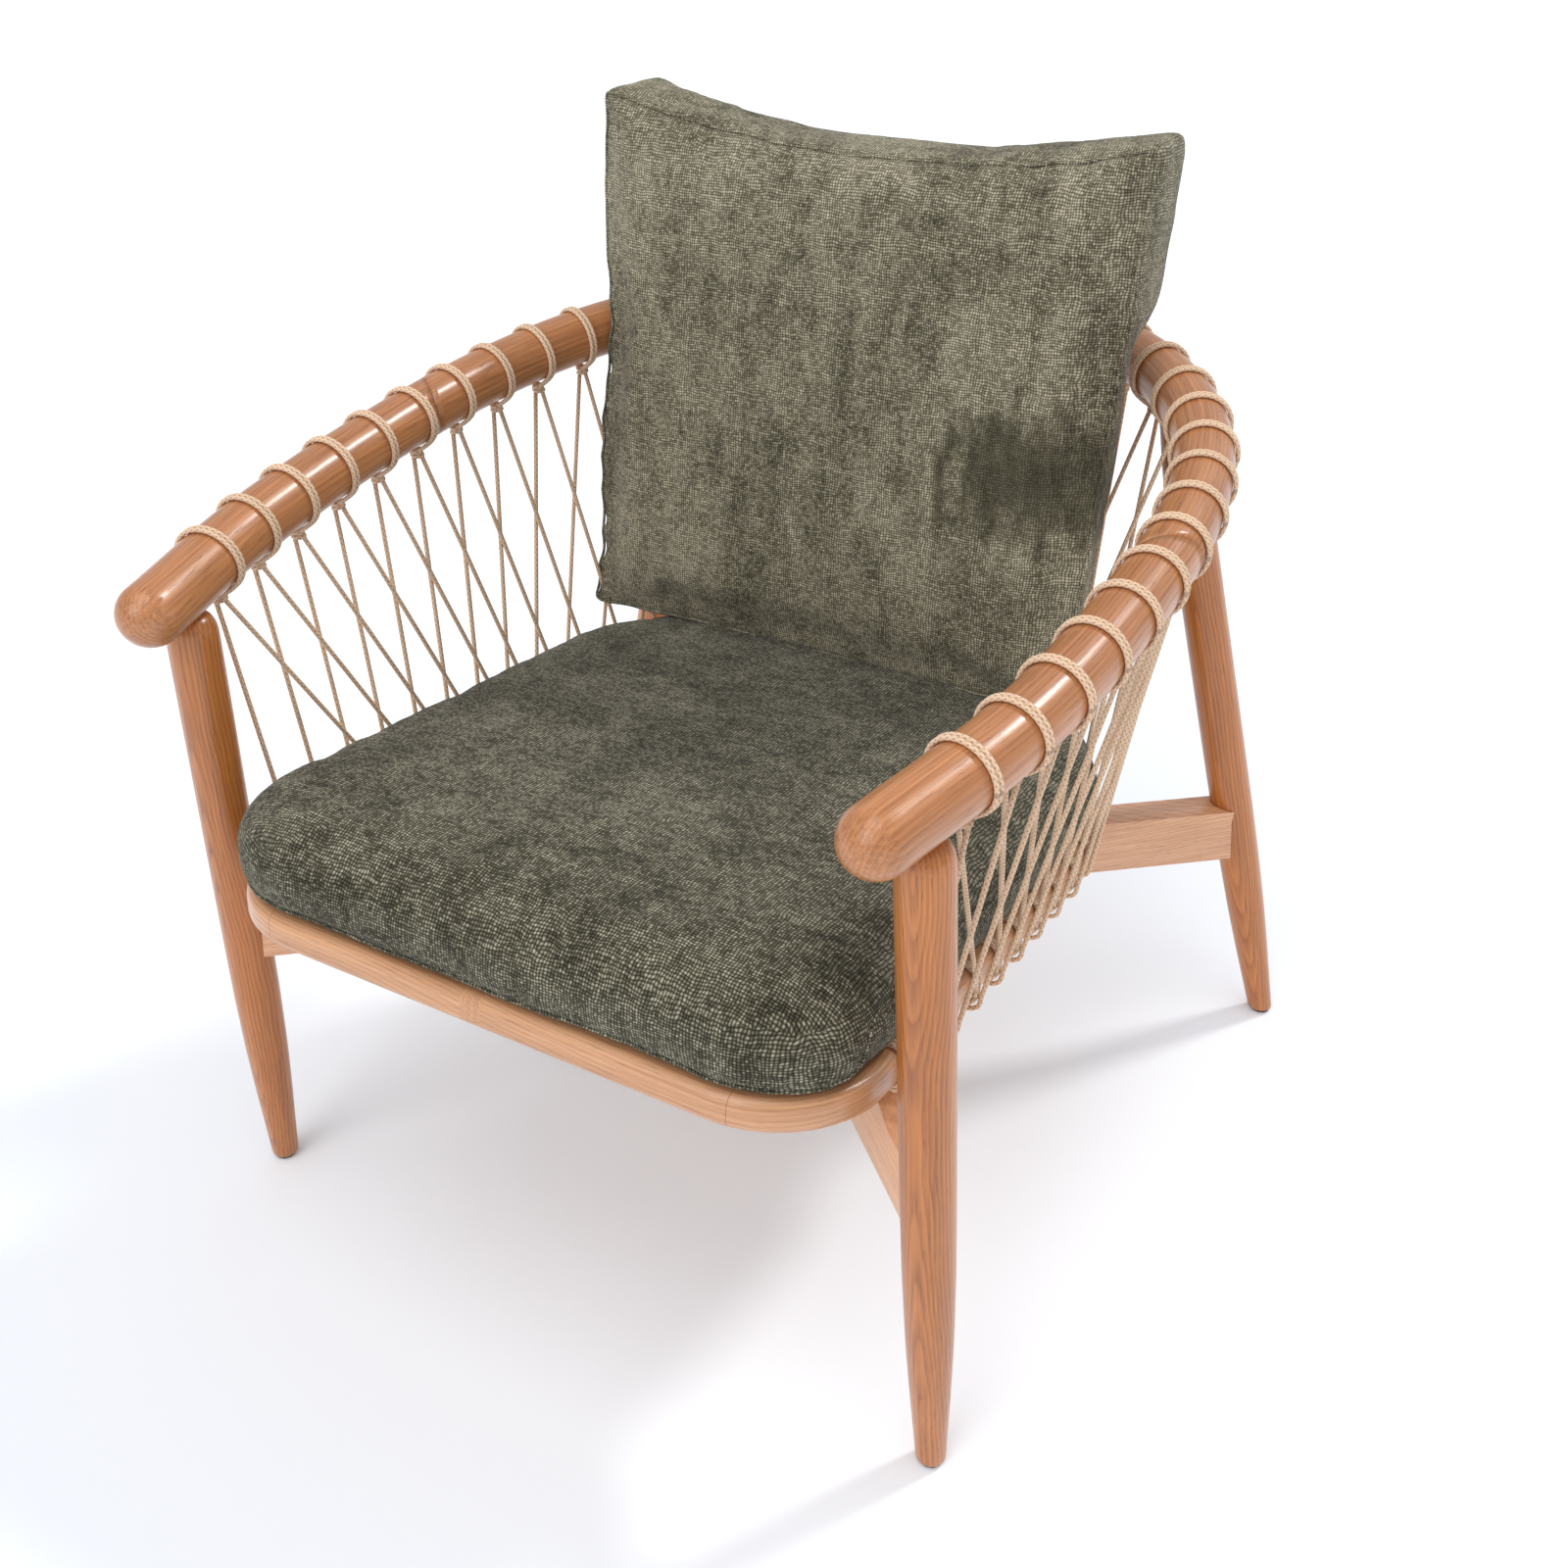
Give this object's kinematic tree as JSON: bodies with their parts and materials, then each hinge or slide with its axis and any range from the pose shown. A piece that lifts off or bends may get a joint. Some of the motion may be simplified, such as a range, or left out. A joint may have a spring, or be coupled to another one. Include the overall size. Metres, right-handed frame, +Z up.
{
  "type": "lounge armchair",
  "caption": "Low lounge chair: a horseshoe arm rail on turned splayed legs, cord laced down to a raked seat ring over crossed stretchers, with loose seat and back cushions.",
  "frame": {"origin": "on the floor, under the centre of the chair's bounding box", "axes": "+Z up, -Y to the chair's front where the sitter faces, +X to the right as seen by someone standing in front of the chair"},
  "size_m": [0.8122, 0.7964, 0.858],
  "materials": {
    "rail_wood": "satin oil, fine open grain along the rail",
    "leg_wood": "satin oil, long grain with oval figure",
    "stretcher_wood": "satin oil",
    "ring_wood": "satin oil",
    "dowel_wood": "dry, fluted and glued",
    "plywood": "unfinished birch face",
    "cord_rope": "braided natural cord",
    "seat_fabric": "grey-green basket-weave chenille",
    "back_fabric": "grey-green basket-weave chenille",
    "steel": "zinc plated",
    "glide_nylon": "moulded, matte"
  },
  "bodies": {
    "root": {"arm_rail_left": "rail_wood", "arm_rail_right": "rail_wood", "corner_rail_left": "rail_wood", "corner_rail_right": "rail_wood", "back_rail": "rail_wood", "front_left_leg": "leg_wood", "front_right_leg": "leg_wood", "rear_left_leg": "leg_wood", "rear_right_leg": "leg_wood", "stretcher_front_left_to_rear_right": "stretcher_wood", "stretcher_front_right_to_rear_left": "stretcher_wood", "seat_ring_front": "ring_wood", "seat_ring_left": "ring_wood", "seat_ring_right": "ring_wood", "seat_ring_back": "ring_wood", "rail_dowel_front_left": "dowel_wood", "leg_dowel_front_left": "dowel_wood", "stretcher_dowel_front_left": "dowel_wood", "foot_glide_front_left": "glide_nylon", "rail_dowel_front_right": "dowel_wood", "leg_dowel_front_right": "dowel_wood", "stretcher_dowel_front_right": "dowel_wood", "foot_glide_front_right": "glide_nylon", "rail_dowel_rear_left": "dowel_wood", "leg_dowel_rear_left": "dowel_wood", "stretcher_dowel_rear_left": "dowel_wood", "foot_glide_rear_left": "glide_nylon", "rail_dowel_rear_right": "dowel_wood", "leg_dowel_rear_right": "dowel_wood", "stretcher_dowel_rear_right": "dowel_wood", "foot_glide_rear_right": "glide_nylon", "ring_dowel_front_left": "dowel_wood", "ring_bolt_front_left": "steel", "ring_dowel_front_right": "dowel_wood", "ring_bolt_front_right": "steel", "ring_dowel_back_left": "dowel_wood", "ring_bolt_back_left": "steel", "ring_dowel_back_right": "dowel_wood", "ring_bolt_back_right": "steel", "deck_screw_1": "steel", "deck_screw_2": "steel", "deck_screw_3": "steel", "deck_screw_4": "steel", "seat_deck": "plywood", "lacing_cord_whole": "cord_rope", "lacing_cord_left": "cord_rope", "lacing_cord_right": "cord_rope", "seat_cushion": "seat_fabric", "back_cushion": "back_fabric"}
  },
  "joints": []
}
